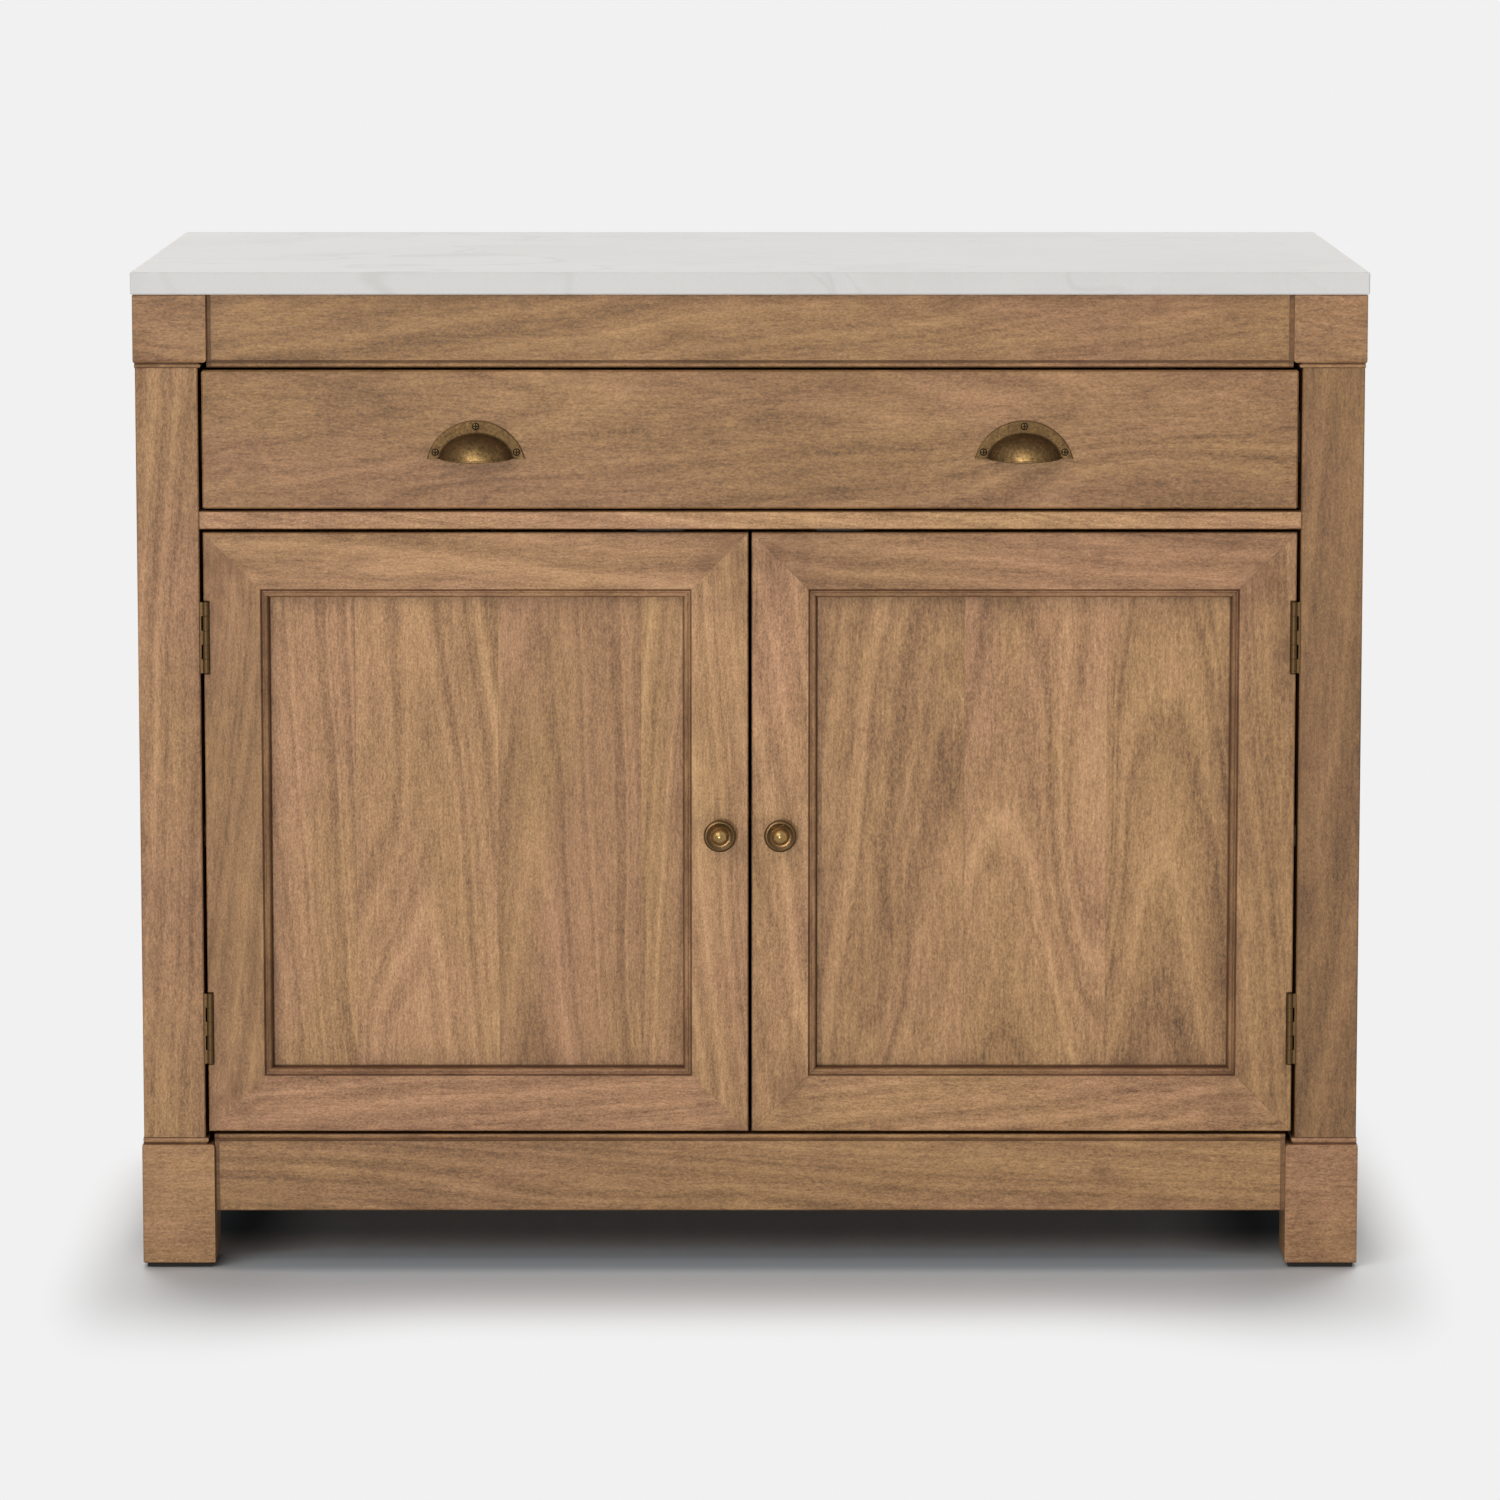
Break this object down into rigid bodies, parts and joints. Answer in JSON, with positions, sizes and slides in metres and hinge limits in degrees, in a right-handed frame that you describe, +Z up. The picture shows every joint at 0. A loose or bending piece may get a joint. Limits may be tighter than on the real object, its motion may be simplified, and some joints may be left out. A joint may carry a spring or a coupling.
{
  "type": "kitchen island unit",
  "caption": "Free-standing wooden kitchen island unit with square corner posts, a pale marble worktop, a wide drawer with cup pulls above a pair of framed panel doors with knobs.",
  "frame": {"origin": "on the floor, in the middle of the overall footprint with the door knobs included", "axes": "+Z up, the doors and drawer face -Y, +X to the right of someone who faces the doors"},
  "size_m": [1.1, 0.6206, 0.9],
  "materials": {
    "worktop_marble": "honed pale marble",
    "solid_wood": "satin, wiped dark in the corners",
    "inner_wood": "bare sanded wood",
    "aged_brass": "aged, dark in the hollows",
    "runner_steel": "zinc plated",
    "foot_pad": "matt"
  },
  "bodies": {
    "carcass": {"worktop": "worktop_marble", "worktop_battens": "inner_wood", "capital_blocks": "solid_wood", "foot_blocks": "solid_wood", "foot_pads": "foot_pad", "post_front_left": "solid_wood", "post_front_right": "solid_wood", "post_back_left": "solid_wood", "post_back_right": "solid_wood", "top_rail_front": "solid_wood", "top_rail_back": "solid_wood", "top_rail_left": "solid_wood", "top_rail_right": "solid_wood", "bottom_rail_front": "solid_wood", "bottom_rail_back": "solid_wood", "bottom_rail_left": "solid_wood", "bottom_rail_right": "solid_wood", "drawer_rail": "solid_wood", "side_panel_left": "solid_wood", "side_panel_right": "solid_wood", "back_stile": "solid_wood", "back_panel_left": "solid_wood", "back_panel_right": "solid_wood", "cabinet_floor": "inner_wood", "floor_battens": "inner_wood", "shelf": "inner_wood", "shelf_battens": "inner_wood", "runner_packers": "inner_wood", "runner_channels": "runner_steel", "door_catches": "runner_steel", "hinge_post_leaves": "aged_brass", "hinge_pins": "aged_brass", "hinge_post_screws": "aged_brass"},
    "runner_middles": {"runner_middles": "runner_steel"},
    "drawer": {"drawer_front": "solid_wood", "drawer_side_left": "inner_wood", "drawer_side_right": "inner_wood", "drawer_back": "inner_wood", "drawer_base": "inner_wood", "drawer_runners": "runner_steel", "cup_pull_left": "aged_brass", "cup_pull_right": "aged_brass", "pull_screws": "aged_brass"},
    "door_left": {"door_left_hinge_stile": "solid_wood", "door_left_meeting_stile": "solid_wood", "door_left_top_rail": "solid_wood", "door_left_bottom_rail": "solid_wood", "door_left_panel": "solid_wood", "door_left_hinge_leaves": "aged_brass", "door_left_knob": "aged_brass", "door_left_screws": "aged_brass"},
    "door_right": {"door_right_hinge_stile": "solid_wood", "door_right_meeting_stile": "solid_wood", "door_right_top_rail": "solid_wood", "door_right_bottom_rail": "solid_wood", "door_right_panel": "solid_wood", "door_right_hinge_leaves": "aged_brass", "door_right_knob": "aged_brass", "door_right_screws": "aged_brass"}
  },
  "joints": [
    {"name": "drawer_slide", "type": "slide", "parent": "carcass", "child": "drawer", "axis": [0, -1, 0], "range_m": [0, 0.4]},
    {"name": "runner_slide", "type": "slide", "parent": "carcass", "child": "runner_middles", "axis": [0, -1, 0], "range_m": [0, 0.2]},
    {"name": "door_left_hinge", "type": "hinge", "parent": "carcass", "child": "door_left", "pos_m": [-0.486, -0.28405, 0.4], "axis": [0, 0, -1], "range_deg": [0, 110]},
    {"name": "door_right_hinge", "type": "hinge", "parent": "carcass", "child": "door_right", "pos_m": [0.486, -0.28405, 0.4], "axis": [0, 0, 1], "range_deg": [0, 110]}
  ],
  "couplings": [
    {"joint": "runner_slide", "follows": "drawer_slide", "ratio": 0.5}
  ]
}
